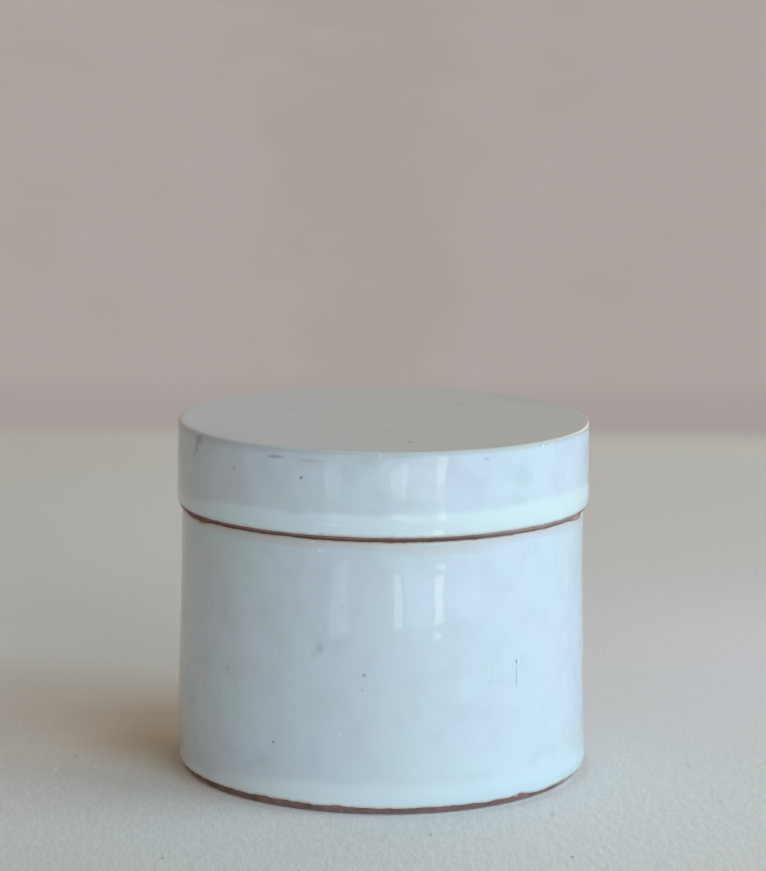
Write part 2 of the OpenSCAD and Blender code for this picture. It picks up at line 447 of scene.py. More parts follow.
def build_speck_group():
    """Scattered specks: a share of the points of a loose lattice, each with its own size."""
    group, given, result = new_group(
        "specks",
        [("Position", "Vector", None), ("Spacing", "Float", 4 * MM), ("Radius", "Float", 0.3 * MM),
         ("Share", "Float", 0.4)],
        [("Mask", "Float", 0)])
    lattice = add(group, "ShaderNodeTexVoronoi", Vector=given["Position"],
                  Scale=work_out(group, "DIVIDE", 1, given["Spacing"]))
    pick = add(group, "ShaderNodeSeparateColor", Color=lattice.outputs["Color"]).outputs
    distance = work_out(group, "MULTIPLY", lattice.outputs["Distance"], given["Spacing"])
    radius = work_out(group, "MULTIPLY", given["Radius"], pick["Green"])
    inside = between(group, distance, radius, work_out(group, "MULTIPLY", radius, SPECK_CORE))
    chosen = work_out(group, "LESS_THAN", pick["Red"], given["Share"])
    feed(group, result["Mask"], work_out(group, "MULTIPLY", inside, chosen))
    return group


def scatter(tree, place, spacing, radius, share):
    """The mask of scattered specks."""
    specks = place_group(tree, SPECKS, Position=place, Spacing=spacing, Radius=radius, Share=share)
    return specks["Mask"]


def build_ring_group():
    """Faint rings left by fingers and tools: noise drawn out around the jar."""
    group, given, result = new_group(
        "turning rings",
        [("Position", "Vector", None), ("Pitch", "Float", 2 * MM), ("Stretch", "Float", 14)],
        [("Value", "Float", 0)])
    stretch = work_out(group, "DIVIDE", 1, given["Stretch"])
    squash = add(group, "ShaderNodeCombineXYZ", X=stretch, Y=stretch, Z=1).outputs[0]
    drawn = work_out_vector(group, "MULTIPLY", given["Position"], squash)
    value = add(group, "ShaderNodeTexNoise", Vector=drawn, Detail=3, Roughness=0.55,
                Scale=work_out(group, "DIVIDE", 1, given["Pitch"])).outputs[0]
    feed(group, result["Value"], value)
    return group


def build_clay_group():
    """Fired red clay: its shade, its grain and the dark grog in it."""
    group, given, result = new_group(
        "clay grain",
        [("Position", "Vector", None), ("Pale", "Color", (0.3, 0.15, 0.1, 1)),
         ("Dark", "Color", (0.1, 0.05, 0.04, 1))],
        [("Color", "Color", None), ("Height", "Float", 0)])
    broad = cloud(group, given["Position"], CLAY_CLOUDS, detail=3)
    grain = cloud(group, given["Position"], CLAY_GRAIN, detail=4, roughness=0.7)
    shade = work_out(group, "MULTIPLY_ADD", grain, 0.5, work_out(group, "MULTIPLY", broad, 0.5))
    shade = between(group, shade, 0.35, 0.65)
    feed(group, result["Color"], mix(group, shade, given["Dark"], given["Pale"]))
    feed(group, result["Height"], work_out(group, "MULTIPLY", grain, GRAIN_HEIGHT))
    return group


MARK = build_mark_group()
SPECKS = build_speck_group()
RINGS = build_ring_group()
CLAY = build_clay_group()


# Colours, in linear values

GLAZE_BLUE = (0.605, 0.675, 0.79, 1)
GLAZE_AQUA = (0.59, 0.695, 0.77, 1)
GLAZE_PINK = (0.61, 0.67, 0.745, 1)
GLAZE_DULL = (0.50, 0.575, 0.645, 1)
JAR_POOLED_AND_SHADED = ((0.69, 0.79, 0.86, 1), (0.575, 0.69, 0.765, 1))     # at the left and at the right, where it is darker as painted shade on the lit side; the same for the lid
LID_POOLED_AND_SHADED = ((0.67, 0.80, 0.90, 1), (0.65, 0.755, 0.79, 1))
# Painted shade, for the lid's flat top
TOP_PAINTED_SHADE_GREY = (0.50, 0.515, 0.495, 1)
TOP_PAINTED_SHADE_COOL = (0.515, 0.545, 0.56, 1)
# Painted shade, for the lid's shoulder
SHOULDER_PAINTED_SHADE = (0.45, 0.49, 0.51, 1)
GLAZE_THIN = (0.58, 0.52, 0.50, 1)
GLAZE_BREAK = (0.50, 0.36, 0.32, 1)
IRON = (0.16, 0.15, 0.16, 1)
CLAY_PALE = (0.315, 0.182, 0.178, 1)
CLAY_DARK = (0.18, 0.103, 0.105, 1)
CLAY_SCORCHED = (0.11, 0.09, 0.07, 1)
CLAY_SEAM_TINT = (0.24, 0.15, 0.165, 1)
# Painted light, for the clay low on the foot
FOOT_PAINTED_LIGHT = (0.42, 0.41, 0.44, 1)
CLAY_SMEARED = (0.36, 0.27, 0.28, 1)
LINER_BLUE = (0.66, 0.71, 0.76, 1)
LINER_AQUA = (0.64, 0.735, 0.75, 1)

# Lengths and strengths in the clay

TOOL_PITCH = 0.8 * MM
TOOL_DEPTH = 0.05 * MM
SCORCH = (4.5 * MM, 0.7)            # length of the scorched clouds, and their strength
SEAM_TINT_ABOVE = (0.9 * MM, 0.3 * MM)          # over the table: no painted light yet, and all of it
SEAM_TINT_BELOW = (-0.25 * MM, -0.05 * MM)      # and under it
FOOT_LIGHT_ENDS = (0.9 * MM, 0.1 * MM)                # over the table, in the same way
SEAM_TINT_STRENGTH = 0.5
FOOT_LIGHT_STRENGTH = 0.45
SMEAR_TURN = 52                     # azimuth of the smear beside the seam
SMEAR_HALF = (32 * MM, 36 * MM, 3 * MM)
SMEAR_PATCHES = 2.5 * MM
CLAY_ROUGHNESS = 0.82

# Lengths and strengths in the glaze

RAGGED = (0.9 * MM, 0.7 * MM)       # length of the ragged outlines' teeth, and their size
DRIFT = 11 * MM
BODY_CLOUDS = 16 * MM
BLUSH = (6 * MM, 0.45)
DULL = 6.5 * MM
DULL_ON_JAR = 0.4
DULL_ON_LID = 0.6
THROWN_LINES = (2.4 * MM, 0.14, 0.003 * MM)     # pitch, strength and height
TOP_DRIFT = 50 * MM
TOP_TURNS_GREY = (-22 * MM, 2 * MM)     # from left to right
TOP_STRENGTH = 0.85
TOP_SETS_IN = (1.4 * MM, 0.3 * MM)  # how far below the top its shade starts, and is full
SHOULDER_SHADE_SIDE = (3.4 * MM, 1.6 * MM)    # the same for the painted shade on the shoulder, in from the side
SHOULDER_SHADE_TOP = (2.2 * MM, 1 * MM)       # and down from the top
SHOULDER_SHADE_ENDS = (24 * MM, 4 * MM)       # from right to left
SHOULDER_SHADE_PATCHES = 9 * MM
POOL_TURNS = (-20 * MM, 34 * MM)    # from the left colour to the right one
POOL_STRENGTH = 0.95
JAR_POOL_SOFT = 3 * MM              # how gradually the pooled glaze ends
LID_POOL_SOFT = 1.8 * MM
THINNING_START = COAT_HIGH.z - 2.1 * MM
THINNING_STRAY = 1.2 * MM
THINNING_HEIGHT = 0.9 * MM
THINNING_STRENGTH = 0.4
EDGE_FLUTTER = (2.5 * MM, 0.8 * MM)     # length and size of a thin edge's flutter
EDGE_THINS = (1.0 * MM, 0.3 * MM)       # how far from the edge it starts to thin, and is thin
EDGE_BREAKS = (0.38 * MM, 0)
EDGE_STRENGTH = 0.85
FREE_SPECKS = (7 * MM, 0.35 * MM, 0.22)         # spacing, radius and share
SPECK_STRENGTH = 0.4
PINHOLES = (3.1 * MM, 0.28 * MM, 0.3)
PINHOLE_DEPTH = 0.02 * MM
GLOSS = 0.06                        # roughness, how far it drifts, and its rise at thin edges
GLOSS_DRIFT = 0.05
GLOSS_LOST = 0.45
GLAZE_IOR = 1.5


def start_material(name):
    """A material's tree with its surface shader and its place on the jar."""
    material = bpy.data.materials.new(name)
    material.use_nodes = True
    tree = material.node_tree
    shader = tree.nodes["Principled BSDF"]
    place = tree.nodes.new("ShaderNodeTexCoord").outputs["Object"]
    return material, tree, shader, place


def painted(tree, mask, strength, paint, colour):
    """Paint with a colour laid over it where a mask is, at a strength."""
    return mix(tree, work_out(tree, "MULTIPLY", mask, strength), paint, colour)


def paint_marks(tree, marks, place, ragged, paint, relief):
    """Adds marks to a colour and a relief. ragged is the place, strayed a little."""
    for row in marks:
        mask = place_group(tree, MARK, Position=ragged if row["ragged"] else place,
                           Turn=radians(row["turn"]), Place=row["place"], Half_Size=row["half"],
                           Lean=radians(row["lean"]), Softness=row["soft"])["Mask"]
        paint = painted(tree, mask, row["strength"], paint, row["colour"])
        relief = work_out(tree, "MULTIPLY_ADD", mask, row["raised"], relief)
    return paint, relief


def finish_surface(tree, shader, paint, roughness, relief):
    """Gives a surface its colour, its roughness and its relief, in metres."""
    bump = add(tree, "ShaderNodeBump", Height=relief, Distance=1.0, Strength=1.0)
    feed(tree, shader.inputs["Base Color"], paint)
    feed(tree, shader.inputs["Roughness"], roughness)
    feed(tree, shader.inputs["Normal"], bump.outputs[0])


def clay_finish(name, marks):
    """Bare red clay, matt and grainy, scorched in places, tinted where jar and lid meet, and with
    painted light low on the foot where it meets the table.
    """
    material, tree, shader, place = start_material(name)
    grain = place_group(tree, CLAY, Position=place, Pale=CLAY_PALE, Dark=CLAY_DARK)
    rings = place_group(tree, RINGS, Position=place, Pitch=TOOL_PITCH)["Value"]
    scorch = between(tree, cloud(tree, place, SCORCH[0], detail=3), 0.5, 0.64)
    paint = painted(tree, scorch, SCORCH[1], grain["Color"], CLAY_SCORCHED)
    height = add(tree, "ShaderNodeSeparateXYZ", Vector=place).outputs["Z"]
    # The clay is tinted towards a greyer mauve in a narrow band at the seam, mostly just over it
    over_seam = work_out(tree, "SUBTRACT", height, SEAM)
    in_seam = work_out(tree, "MULTIPLY", between(tree, over_seam, *SEAM_TINT_ABOVE),
                       between(tree, over_seam, *SEAM_TINT_BELOW))
    near_table = between(tree, height, *FOOT_LIGHT_ENDS)
    paint = painted(tree, in_seam, SEAM_TINT_STRENGTH, paint, CLAY_SEAM_TINT)
    # Painted light: a paler bluish grey low on the foot, lifting the contact shade at the table
    paint = painted(tree, near_table, FOOT_LIGHT_STRENGTH, paint, FOOT_PAINTED_LIGHT)

    # A grey film of glaze, smeared on the clay beside the seam at the right
    smear = place_group(tree, MARK, Position=place, Turn=radians(SMEAR_TURN), Place=(0, -WIDEST, SEAM),
                        Half_Size=SMEAR_HALF, Softness=0.8)["Mask"]
    patchy = between(tree, cloud(tree, place, SMEAR_PATCHES, detail=3), 0.3, 0.6)
    smear = work_out(tree, "MULTIPLY", smear, work_out(tree, "MULTIPLY_ADD", patchy, 0.4, 0.5))
    paint = mix(tree, smear, paint, CLAY_SMEARED)
    relief = work_out(tree, "MULTIPLY_ADD", rings, TOOL_DEPTH, grain["Height"])
    paint, relief = paint_marks(tree, marks, place, place, paint, relief)
    finish_surface(tree, shader, paint, CLAY_ROUGHNESS, relief)
    return material


def top_paint(tree, paint, place, spot, ragged, drift):
    """The lid's flat top, greyer than its side, and the shoulder round it: both are painted shade."""
    top = LID_COAT_HIGH.z
    level = add(tree, "ShaderNodeCombineXYZ", X=spot["X"], Y=spot["Y"]).outputs[0]
    radius = work_out_vector(tree, "LENGTH", level)
    sideways = work_out(tree, "MULTIPLY_ADD", drift, TOP_DRIFT, spot["X"])
    # The top's greyer colours are painted shade, cooler at the left and greyer at the right
    painted_top_shade = mix(tree, between(tree, sideways, *TOP_TURNS_GREY), TOP_PAINTED_SHADE_COOL, TOP_PAINTED_SHADE_GREY)
    high = between(tree, spot["Z"], *[top - down for down in TOP_SETS_IN])
    paint = painted(tree, high, TOP_STRENGTH, paint, painted_top_shade)

    # Painted shade on the shoulder, patchy, strongest at the left and fading out towards the right
    outer = between(tree, radius, *[WIDEST - inward for inward in SHOULDER_SHADE_SIDE])
    upper = between(tree, spot["Z"], *[top - down for down in SHOULDER_SHADE_TOP])
    shoulder_shade = work_out(tree, "MULTIPLY", outer, upper)
    shoulder_shade = work_out(tree, "MULTIPLY", shoulder_shade, between(tree, spot["X"], *SHOULDER_SHADE_ENDS))
    patchy = between(tree, cloud(tree, ragged, SHOULDER_SHADE_PATCHES, detail=3), 0.42, 0.62)
    shoulder_shade = work_out(tree, "MULTIPLY", shoulder_shade, work_out(tree, "MULTIPLY_ADD", patchy, 0.3, 0.1))
    return mix(tree, shoulder_shade, paint, SHOULDER_PAINTED_SHADE)


def pool_paint(tree, paint, spot, drift, soft, colours):
    """The paler glaze gathered above a lower edge, in one colour at the left and a darker one at the
    right, which is painted shade on the lit side.
    """
    over = add(tree, "ShaderNodeAttribute", {"attribute_name": "pool"}).outputs["Fac"]
    strayed = work_out(tree, "MULTIPLY_ADD", drift, soft, over)
    pooled = between(tree, strayed, soft / 2, -soft / 2)
    pooled_and_shaded = mix(tree, between(tree, spot["X"], *POOL_TURNS), *colours)
    return painted(tree, pooled, POOL_STRENGTH, paint, pooled_and_shaded)


def glaze_finish(name, marks, first=GLAZE_BLUE, second=GLAZE_AQUA, pool_soft=None, thin_from=None,
                 cap=False):
    """Glossy glaze: mottled, pooled above its lower edge, thin at its edges, with specks and marks.

    pool_soft is how gradually the pooled glaze ends, thin_from the height over which the glaze
    thins, and cap says that the piece has a flat top with a shoulder round it.
    """
    material, tree, shader, place = start_material(name)
    teeth, reach = RAGGED
    wobble = add(tree, "ShaderNodeTexNoise", Vector=place, Scale=1 / teeth, Detail=2).outputs[1]
    centred = work_out_vector(tree, "SUBTRACT", wobble, (0.5, 0.5, 0.5))
    ragged = work_out_vector(tree, "MULTIPLY_ADD", centred, (reach,) * 3, place)
    drift = work_out(tree, "SUBTRACT", cloud(tree, place, DRIFT), 0.5)
    spot = add(tree, "ShaderNodeSeparateXYZ", Vector=place).outputs

    # Body colour: broad clouds of two shades, a blush, dull patches and faint throwing lines
    broad = between(tree, cloud(tree, place, BODY_CLOUDS, detail=3), 0.38, 0.62)
    paint = mix(tree, broad, first, second)
    length, strength = BLUSH
    blush = between(tree, cloud(tree, ragged, length, detail=3, roughness=0.6), 0.52, 0.72)
    paint = painted(tree, blush, strength, paint, GLAZE_PINK)
    dull = between(tree, cloud(tree, ragged, DULL, detail=3), 0.42, 0.8)
    paint = painted(tree, dull, DULL_ON_LID if cap else DULL_ON_JAR, paint, GLAZE_DULL)
    pitch, strength, line_height = THROWN_LINES
    rings = place_group(tree, RINGS, Position=place, Pitch=pitch)["Value"]
    paint = painted(tree, between(tree, rings, 0.48, 0.8), strength, paint, GLAZE_DULL)

    if cap:
        paint = top_paint(tree, paint, place, spot, ragged, drift)
    if pool_soft:
        paint = pool_paint(tree, paint, spot, drift, pool_soft, LID_POOLED_AND_SHADED if cap else JAR_POOLED_AND_SHADED)
    if thin_from:
        strayed = work_out(tree, "MULTIPLY_ADD", drift, THINNING_STRAY, spot["Z"])
        thinning = between(tree, strayed, thin_from, thin_from + THINNING_HEIGHT)
        paint = painted(tree, thinning, THINNING_STRENGTH, paint, GLAZE_THIN)

    # Thin edges, where the clay shows through the glaze
    edge = add(tree, "ShaderNodeAttribute", {"attribute_name": "edge"}).outputs["Fac"]
    length, reach = EDGE_FLUTTER
    flutter = work_out(tree, "SUBTRACT", cloud(tree, place, length), 0.5)
    strayed = work_out(tree, "MULTIPLY_ADD", flutter, reach, edge)
    thinness = between(tree, strayed, *EDGE_THINS)
    paint = painted(tree, thinness, EDGE_STRENGTH, paint, GLAZE_THIN)
    paint = mix(tree, between(tree, strayed, *EDGE_BREAKS), paint, GLAZE_BREAK)

    # Specks, pinholes and marks
    paint = painted(tree, scatter(tree, ragged, *FREE_SPECKS), SPECK_STRENGTH, paint, IRON)
    relief = work_out(tree, "MULTIPLY", rings, line_height)
    pinholes = scatter(tree, place, *PINHOLES)
    relief = work_out(tree, "MULTIPLY_ADD", pinholes, -PINHOLE_DEPTH, relief)
    paint, relief = paint_marks(tree, marks, place, ragged, paint, relief)
    gloss = work_out(tree, "MULTIPLY_ADD", drift, GLOSS_DRIFT, GLOSS)
    gloss = work_out(tree, "MULTIPLY_ADD", thinness, GLOSS_LOST, gloss)
    finish_surface(tree, shader, paint, gloss, relief)
    shader.inputs["IOR"].default_value = GLAZE_IOR
    return material


def mark(turn, up, half, colour, strength, soft=0.9, lean=0, ragged=True, raised=0, out=None):
    """A mark's row: azimuth and lean in degrees, the rest in millimetres.

    half is its half width, half depth and half height, and out its distance from the axis.
    """
    place = (0, -(out * MM if out else WIDEST), up * MM)
    return {"turn": turn, "place": place, "half": tuple(h * MM for h in half), "colour": colour,
            "strength": strength, "soft": soft, "lean": lean, "ragged": ragged, "raised": raised * MM}


def top_mark(x, y, spin, half, colour, strength, soft=0.8):
    """A mark on the lid's top, at x and y in millimetres and turned by spin degrees."""
    row = mark(spin, 0, half, colour, strength, soft)
    row["place"] = Matrix.Rotation(-radians(spin), 3, "Z") @ Vector((x * MM, y * MM, LID_COAT_HIGH.z))
    return row


def glint(turn, up, half_width, half_height, strength, soft=0.9, out=None):
    """A tiny bump at an edge of the glaze, with a painted highlight on it."""
    half = (half_width, 1, half_height)
    return mark(turn, up, half, PALE, strength, soft, ragged=False, raised=0.05, out=out)


GREY_BROWN = (0.20, 0.18, 0.17, 1)
SMUDGE = (0.34, 0.36, 0.38, 1)
PAINTED_LIGHT_BLUE = (0.66, 0.75, 0.88, 1)
COOL_GREY = (0.24, 0.27, 0.28, 1)
PALE = (0.86, 0.91, 0.93, 1)
WARM_GLINT = (0.85, 0.79, 0.70, 1)
RUST = (0.36, 0.17, 0.09, 1)
OCHRE = (0.44, 0.27, 0.15, 1)
SALMON = (0.62, 0.39, 0.33, 1)
OLIVE = (0.075, 0.07, 0.055, 1)
CHIPPED = (0.72, 0.60, 0.60, 1)
GREY_CLAY = (0.50, 0.48, 0.49, 1)

CLAY_MARKS = [
    mark(-60, 59.2, (3.2, 3, 0.9), OCHRE, 0.85, soft=0.8),
    mark(73, 59.1, (5, 3, 1.1), SALMON, 0.85, soft=0.8),
    mark(-37.5, 1.6, (2.6, 3, 1.8), OLIVE, 0.85, soft=0.7, out=44),
    mark(-55, 1.4, (5, 3, 1.6), OLIVE, 0.5, soft=0.8, out=44),
    mark(-20, 1.3, (2.2, 3, 0.9), OLIVE, 0.5, soft=0.8, out=44),
    mark(10, 1.4, (2.6, 3, 0.8), OLIVE, 0.45, soft=0.8, out=44),
    mark(40.5, 1.9, (1, 2, 0.6), CHIPPED, 0.9, soft=0.6, out=44.4),
    mark(66, 1.2, (9, 6, 2), GREY_CLAY, 0.6, out=44),
    mark(-73.5, 0.9, (0.35, 2, 0.35), PALE, 0.9, soft=0.7, out=44),
    mark(-10.6, 0.8, (0.3, 2, 0.25), PALE, 0.8, soft=0.7, out=44),
]

LID_MARKS = [
    mark(-60, 77.5, (2.8, 4, 1.7), GREY_BROWN, 0.6, soft=0.95),
    mark(-61.5, 75.6, (1.3, 3, 2.2), GREY_BROWN, 0.5, lean=-10),
    mark(-63.4, 73.8, (0.7, 3, 1.6), GREY_BROWN, 0.4),
    mark(-52, 78.2, (26, 16, 2), SMUDGE, 0.25),
    mark(-17, 76.6, (13, 8, 4), SMUDGE, 0.17, soft=1),
    # Painted reflection: a darker band under the lid's top edge, at the front
    mark(-4, 77, (5, 6, 1.6), SMUDGE, 0.25, soft=1),
    mark(-29, 71.5, (4.5, 4, 3.6), SMUDGE, 0.09, soft=1),
    mark(-45, 69.5, (6, 6, 3), SMUDGE, 0.08, soft=1),
    mark(-38, 74.4, (3.2, 4, 1.4), PALE, 0.10),
    mark(-24, 75.6, (1.6, 3, 2), PALE, 0.08),
    mark(128, 78.2, (22, 16, 2), SMUDGE, 0.4),
    mark(-29.8, 76.8, (3.1, 3, 0.6), COOL_GREY, 0.65, soft=0.8),
    # Painted highlights on small bumps at the lid's lower edge
    glint(50.9, 61.3, 0.35, 0.3, 0.8, soft=0.8),
    glint(55.6, 61.2, 0.5, 0.25, 0.7, soft=0.8),
    # Painted reflection: a darker band just under the lid's top edge, left of the front
    mark(-19, 76.6, (4.5, 3, 0.5), SMUDGE, 0.35),
    mark(-22, 72.8, (0.55, 2, 0.55), IRON, 0.7, soft=0.8),
    mark(-43.7, 73.0, (0.8, 2, 0.8), SMUDGE, 0.4),
    mark(28.5, 76.9, (1, 2, 0.8), SMUDGE, 0.4),
    # Painted highlights on small bumps along the lid's top edge
    glint(-0.6, 78.2, 0.4, 0.35, 0.8, out=45.7),
    glint(13.6, 78.1, 0.5, 0.25, 0.8, out=45.7),
    glint(16.5, 78.0, 0.5, 0.35, 0.8, out=45.7),
    glint(45.6, 78.1, 0.4, 0.25, 0.7, out=45.7),
    glint(48.2, 78.0, 0.5, 0.6, 0.9, out=45.7),
    glint(52, 78.1, 1.1, 0.25, 0.6, out=45.7),
    mark(151, 70.5, (0.6, 2, 0.6), IRON, 0.6, soft=0.7),
    mark(-141, 73.8, (0.9, 2, 1.1), SMUDGE, 0.5),
    mark(-169, 66.6, (0.5, 2, 0.5), IRON, 0.5, soft=0.8),
    mark(112, 76.7, (2.4, 3, 0.5), COOL_GREY, 0.55, soft=0.8),
    mark(-112, 68.6, (0.45, 2, 0.5), IRON, 0.5, soft=0.8),
    top_mark(0.6, -18.2, 35, (0.35, 2.6, 2), GREY_BROWN, 0.6),
    top_mark(5.8, -33.1, 10, (1.3, 2.6, 2), GREY_BROWN, 0.35),
    top_mark(-21, 8, -20, (3, 5, 2), SMUDGE, 0.15),
    top_mark(17, 21, 60, (0.4, 2.2, 2), GREY_BROWN, 0.45),
    top_mark(-9, 30, 0, (0.6, 0.7, 2), IRON, 0.4),
]
JAR_MARKS = [
    # Painted light: a broad paler blue on the body's front right, where the window light falls
    mark(24, 47, (10.5, 6, 9), PAINTED_LIGHT_BLUE, 0.55, soft=1),
    mark(12, 46, (9, 6, 9), PAINTED_LIGHT_BLUE, 0.35, soft=1),
    mark(16, 57.4, (26, 14, 1.5), GLAZE_THIN, 0.35, soft=1),
    # Painted shade: a faint greyer band low on the body's left, above the pooled glaze
    mark(-40, 10, (24, 26, 3), SMUDGE, 0.06, soft=1),
    mark(-4.6, 30.8, (0.72, 2, 0.75), IRON, 0.6, soft=0.7),
    mark(-5, 27.6, (0.4, 2, 0.4), IRON, 0.4, soft=0.6),
    mark(-16.9, 36.2, (1.7, 2, 2), SMUDGE, 0.7),
    mark(-18.5, 34.5, (1.2, 2, 1.4), SMUDGE, 0.3),
    mark(-30.2, 14.5, (0.6, 2, 0.5), IRON, 0.55, soft=0.6),
    mark(-54.4, 41.4, (0.5, 2, 0.6), IRON, 0.3, soft=0.6),
    mark(-57, 43.8, (0.6, 2, 0.8), SMUDGE, 0.4),
    mark(-60, 38, (0.7, 2, 1.4), SMUDGE, 0.4),
    mark(-65, 43, (0.7, 2, 2.2), SMUDGE, 0.4),
    mark(-47, 28.7, (1, 2, 1), SMUDGE, 0.45),
    mark(-10.6, 45.6, (1.2, 2, 0.8), SMUDGE, 0.4),
    mark(4.6, 59.25, (1.3, 2, 0.25), GREY_BROWN, 0.5, soft=0.8),
    # Painted highlights on small bumps at the glaze's upper edge
    glint(-5.6, 59.3, 0.3, 0.25, 0.9, soft=0.7),
    glint(12.5, 59.3, 0.35, 0.3, 0.9, soft=0.7),
    glint(15.4, 59.3, 0.5, 0.2, 0.7, soft=0.7),
    mark(-24, 50, (2.2, 2, 1.8), SMUDGE, 0.25, soft=1),
    mark(39.8, 28.4, (0.14, 2, 4), IRON, 0.6, soft=0.7, ragged=False, raised=-0.05),
    mark(39.8, 31.7, (0.26, 2, 0.8), IRON, 0.85, soft=0.6, ragged=False, raised=-0.1),
    # Painted highlight beside the pit
    mark(40.6, 31.6, (0.3, 2, 0.45), PALE, 0.5, soft=0.6, ragged=False),
    # A raised glaze bubble, with a painted highlight on it
    mark(-17, 57.1, (1.2, 2, 0.9), PALE, 1, raised=0.08, soft=0.8),
    # Painted glints on small bumps along the glaze's upper edge
    mark(-19, 59.1, (1.4, 2, 0.5), WARM_GLINT, 1, soft=0.6, raised=0.05),
    mark(14, 59.0, (3, 2, 0.22), PALE, 0.6, soft=0.6, raised=0.04),
    # A small raised bump, with a painted highlight on it
    mark(-11, 17.4, (1, 2, 0.9), PALE, 0.3, raised=0.05),
    mark(-62, 58.6, (2.6, 3, 0.7), RUST, 0.6),
    mark(76, 58.5, (3.4, 3, 0.8), RUST, 0.45),
    mark(142, 38, (0.7, 2, 0.7), IRON, 0.55, soft=0.7),
    mark(104, 49.5, (0.4, 2, 0.4), IRON, 0.5, soft=0.6),
    mark(171, 22.5, (0.5, 2, 0.5), IRON, 0.5, soft=0.8),
    mark(-158, 46.8, (0.55, 2, 0.6), IRON, 0.5, soft=0.8),
    mark(-101, 27, (0.5, 2, 0.5), IRON, 0.45, soft=0.8),
    mark(-131, 18.4, (1.5, 2, 1.8), SMUDGE, 0.5),
    mark(-165, 33.5, (1.1, 2, 2.2), SMUDGE, 0.4),
    mark(119, 27.6, (0.14, 2, 2.6), IRON, 0.5, soft=0.7, lean=12, ragged=False, raised=-0.05),
    # A raised glaze bubble at the back, with a painted highlight on it
    mark(160, 57, (1, 2, 0.8), PALE, 0.9, soft=0.8, raised=0.08),
    mark(-110, 51.2, (2.4, 3, 0.6), COOL_GREY, 0.45, soft=0.8),
]


# Pieces

red_clay = clay_finish("red_clay", CLAY_MARKS)
jar_glaze = glaze_finish("jar_glaze", JAR_MARKS, pool_soft=JAR_POOL_SOFT, thin_from=THINNING_START)
lid_glaze = glaze_finish("lid_glaze", LID_MARKS, pool_soft=LID_POOL_SOFT, cap=True)
liner_glaze = glaze_finish("liner_glaze", [], first=LINER_BLUE, second=LINER_AQUA)


def add_jar_clay():
    """The jar's clay: foot, ledge and collar show bare."""
    def spacing(middle):
        bare = middle.z < COAT_LOW.z or middle.z > COAT_HIGH.z
        return FINE if bare else COARSE
    mesh = outline("jar_body")
    refine(mesh, spacing)
    turn(mesh, INSIDE_STEPS)
    return make_piece("jar_clay", "jar_body", "jar", mesh, red_clay)


def add_lid_clay():
    """The lid's clay: its rim and skirt show bare."""
    def spacing(middle):
        if middle.z < SEAM + LID_RIM_ROUND and middle.x > LID_WALL - 2 * MM:
            return FINEST
        return FINE if middle.z < LID_COAT_LOW.z or middle.x < JAR_HIGH.x else COARSE
    mesh = outline("lid_body")
    refine(mesh, spacing)
    turn(mesh, INSIDE_STEPS)
    sharpen_rim(mesh)
    return make_piece("lid_clay", "lid_body", "lid", mesh, red_clay)


def add_coat(name, node, body, material, outside, low=None, high=None, pool=None):
    """A coat of glaze on a body's clay, fine on its skin and coarse on its back."""
    seed = SEEDS[body]
    shoulder = outside and body == "lid"

    def spacing(middle):
        inward = LID_WALL - middle.x
        if shoulder and max(inward, LID_COAT_HIGH.z - middle.z) < LID_SHOULDER_ROUND:
            return FINEST
        if shoulder and middle.z > LID_HIGH.z and inward > TOP_BLEND:
            return LEVEL
        return FINE if outside else INSIDE_FINE

    mesh = outline(node)
    layer = measure_coat(mesh, body + "_body")
    tips = [v.co.copy() for v in mesh.verts if v[layer] < SKIN_START
            and max(e.other_vert(v)[layer] for e in v.link_edges) > SKIN_START]
    refine(mesh, spacing, [e for e in mesh.edges if max(v[layer] for v in e.verts) > THIN])
    measure_edge(mesh, tips)
    turn(mesh, OUTSIDE_STEPS if outside else INSIDE_STEPS)
    if shoulder:
        sharpen_shoulder(mesh, layer)
        sharpen_rim(mesh)
    if pool:
        measure_pool(mesh, *pool, seed)
    wipe(mesh, layer, low, high, seed)
    return make_piece(name, node, body, mesh, material)


add_jar_clay()
add_coat("jar_outer_coat", "jar_outer_glaze", "jar", jar_glaze, outside=True,
         low=(COAT_LOW.z, FOOT_WANDER, FOOT_GAPS, JAR_POOL_SWELL),
         high=(COAT_HIGH.z, SHOULDER_WANDER, SHOULDER_GAPS), pool=(JAR_POOL, JAR_POOL_WAVES))
add_coat("jar_liner", "jar_inner_glaze", "jar", liner_glaze, outside=False,
         high=(JAR_LINER_HIGH.z, JAR_LINER_WANDER, []))
add_lid_clay()
add_coat("lid_outer_coat", "lid_outer_glaze", "lid", lid_glaze, outside=True,
         low=(LID_COAT_LOW.z, LID_RIM_WANDER, LID_RIM_GAPS, LID_POOL_SWELL),
         pool=(LID_POOL, LID_POOL_WAVES))
add_coat("lid_liner", "lid_inner_glaze", "lid", liner_glaze, outside=False,
         low=(LID_LINER_LOW.z, LID_LINER_WANDER, [], LID_POOL_SWELL))


# Camera, at the photograph's place

CAMERA_PLACE = Vector((-0.07, -692.65, 191.55)) * MM
CAMERA_PITCH = radians(9.566)       # below level
CAMERA_ROLL = radians(0.594)
FOCAL_PIXELS = 3138
PHOTO_HEIGHT = 871
SENSOR_MM = 36
CLIP = (0.01, 20)                   # nearest and farthest distance seen, in metres


def add_camera():
    """The camera, looking down a little and leaning slightly, as in the photograph."""
    data = bpy.data.cameras.new("camera")
    data.sensor_width = SENSOR_MM
    data.lens = FOCAL_PIXELS / PHOTO_HEIGHT * SENSOR_MM
    data.clip_start, data.clip_end = CLIP
    camera = bpy.data.objects.new("camera", data)
    camera.matrix_world = (Matrix.Translation(CAMERA_PLACE)
                           @ Matrix.Rotation(pi / 2 - CAMERA_PITCH, 4, "X")
                           @ Matrix.Rotation(CAMERA_ROLL, 4, "Z"))
    bpy.context.scene.collection.objects.link(camera)
    bpy.context.scene.camera = camera


